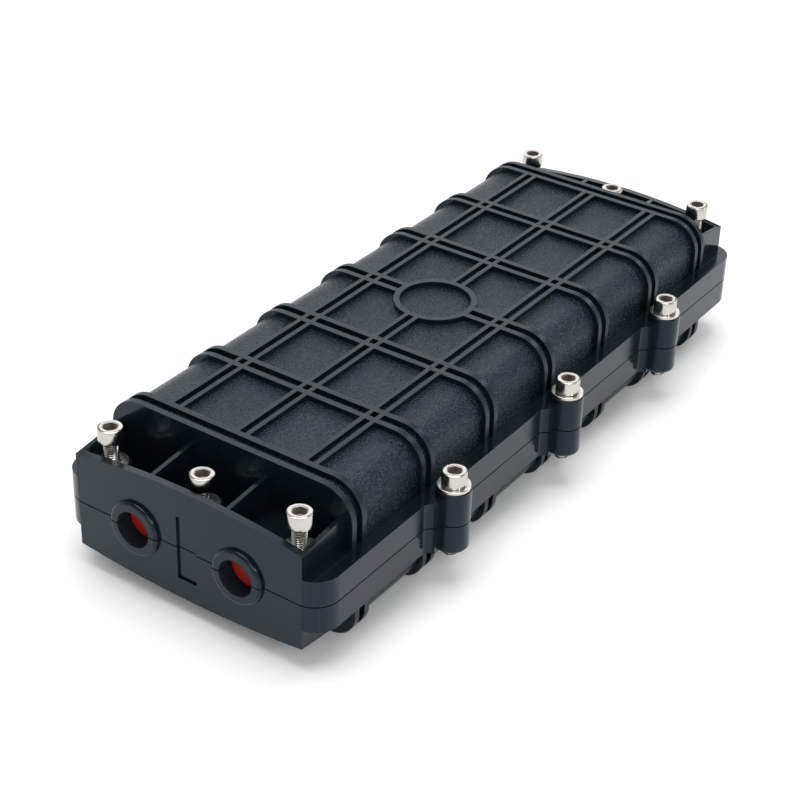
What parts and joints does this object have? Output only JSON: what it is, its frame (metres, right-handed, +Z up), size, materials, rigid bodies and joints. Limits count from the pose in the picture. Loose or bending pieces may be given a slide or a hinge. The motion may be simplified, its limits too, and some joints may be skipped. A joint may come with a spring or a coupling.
{
  "type": "fibre splice closure",
  "caption": "Horizontal in-line fibre splice closure: cross-ribbed black cover hinged and screwed to its base on a gasket, with plugged cable ports at both ends and stacked splice trays inside.",
  "frame": {"origin": "bottom centre of the closed closure, on the plane of the base's rib tops", "axes": "+X along the closure, away from the end nearest in the picture; +Z up, through the cover's ring; +Y across"},
  "size_m": [0.4302, 0.1926, 0.0858],
  "materials": {
    "black_plastic": "spark-textured panels, satin rims",
    "gasket_rubber": "matt",
    "plug_rubber": "matt red",
    "bright_steel": "bright, lightly brushed",
    "brass": "machined",
    "frame_steel": "brushed",
    "zinc_steel": "zinc-plated",
    "tray_plastic": "satin off-white",
    "comb_plastic": "satin blue",
    "clear_plastic": "clear",
    "nut_plastic": "satin black",
    "saddle_plastic": "satin black"
  },
  "bodies": {
    "base": {"lower_base": "black_plastic", "sealing_gasket": "gasket_rubber", "hinge_pins": "zinc_steel", "port_plug_1": "plug_rubber", "port_plug_2": "plug_rubber", "port_plug_3": "plug_rubber", "port_plug_4": "plug_rubber", "side_inserts": "brass", "end_inserts": "brass", "tray_frame": "frame_steel", "frame_screws": "zinc_steel", "cable_saddle_1": "saddle_plastic", "cable_saddle_2": "saddle_plastic", "cable_saddle_3": "saddle_plastic", "cable_saddle_4": "saddle_plastic", "saddle_screws": "zinc_steel", "strength_posts": "zinc_steel", "clamp_screws": "zinc_steel", "splice_tray_lower": "tray_plastic", "splice_tray_upper": "tray_plastic", "splice_comb_lower": "comb_plastic", "splice_comb_upper": "comb_plastic", "tray_lid": "clear_plastic", "tray_studs": "zinc_steel", "tray_nuts": "nut_plastic"},
    "cover": {"upper_cover": "black_plastic", "side_washers": "bright_steel", "end_washers": "bright_steel"},
    "end_screw_1": {"end_screw_1": "bright_steel"},
    "end_screw_2": {"end_screw_2": "bright_steel"},
    "end_screw_3": {"end_screw_3": "bright_steel"},
    "end_screw_4": {"end_screw_4": "bright_steel"},
    "end_screw_5": {"end_screw_5": "bright_steel"},
    "end_screw_6": {"end_screw_6": "bright_steel"},
    "side_screw_1": {"side_screw_1": "bright_steel"},
    "side_screw_2": {"side_screw_2": "bright_steel"},
    "side_screw_3": {"side_screw_3": "bright_steel"}
  },
  "joints": [
    {"name": "cover_hinge", "type": "hinge", "parent": "base", "child": "cover", "pos_m": [0, 0.09, 0.0393], "axis": [-1, 0, 0], "range_deg": [0, 105]},
    {"name": "end_screw_travel_1", "type": "slide", "parent": "cover", "child": "end_screw_1", "axis": [0, 0, 1], "range_m": [-0.0123, 0.0071]},
    {"name": "end_screw_travel_2", "type": "slide", "parent": "cover", "child": "end_screw_2", "axis": [0, 0, 1], "range_m": [-0.0089, 0.0105]},
    {"name": "end_screw_travel_3", "type": "slide", "parent": "cover", "child": "end_screw_3", "axis": [0, 0, 1], "range_m": [-0.0123, 0.0071]},
    {"name": "end_screw_travel_4", "type": "slide", "parent": "cover", "child": "end_screw_4", "axis": [0, 0, 1], "range_m": [-0.0154, 0.004]},
    {"name": "end_screw_travel_5", "type": "slide", "parent": "cover", "child": "end_screw_5", "axis": [0, 0, 1], "range_m": [-0.0089, 0.0105]},
    {"name": "end_screw_travel_6", "type": "slide", "parent": "cover", "child": "end_screw_6", "axis": [0, 0, 1], "range_m": [-0.0154, 0.004]},
    {"name": "side_screw_travel_1", "type": "slide", "parent": "cover", "child": "side_screw_1", "axis": [0, 0, 1], "range_m": [0, 0.021]},
    {"name": "side_screw_travel_2", "type": "slide", "parent": "cover", "child": "side_screw_2", "axis": [0, 0, 1], "range_m": [0, 0.021]},
    {"name": "side_screw_travel_3", "type": "slide", "parent": "cover", "child": "side_screw_3", "axis": [0, 0, 1], "range_m": [0, 0.021]}
  ]
}
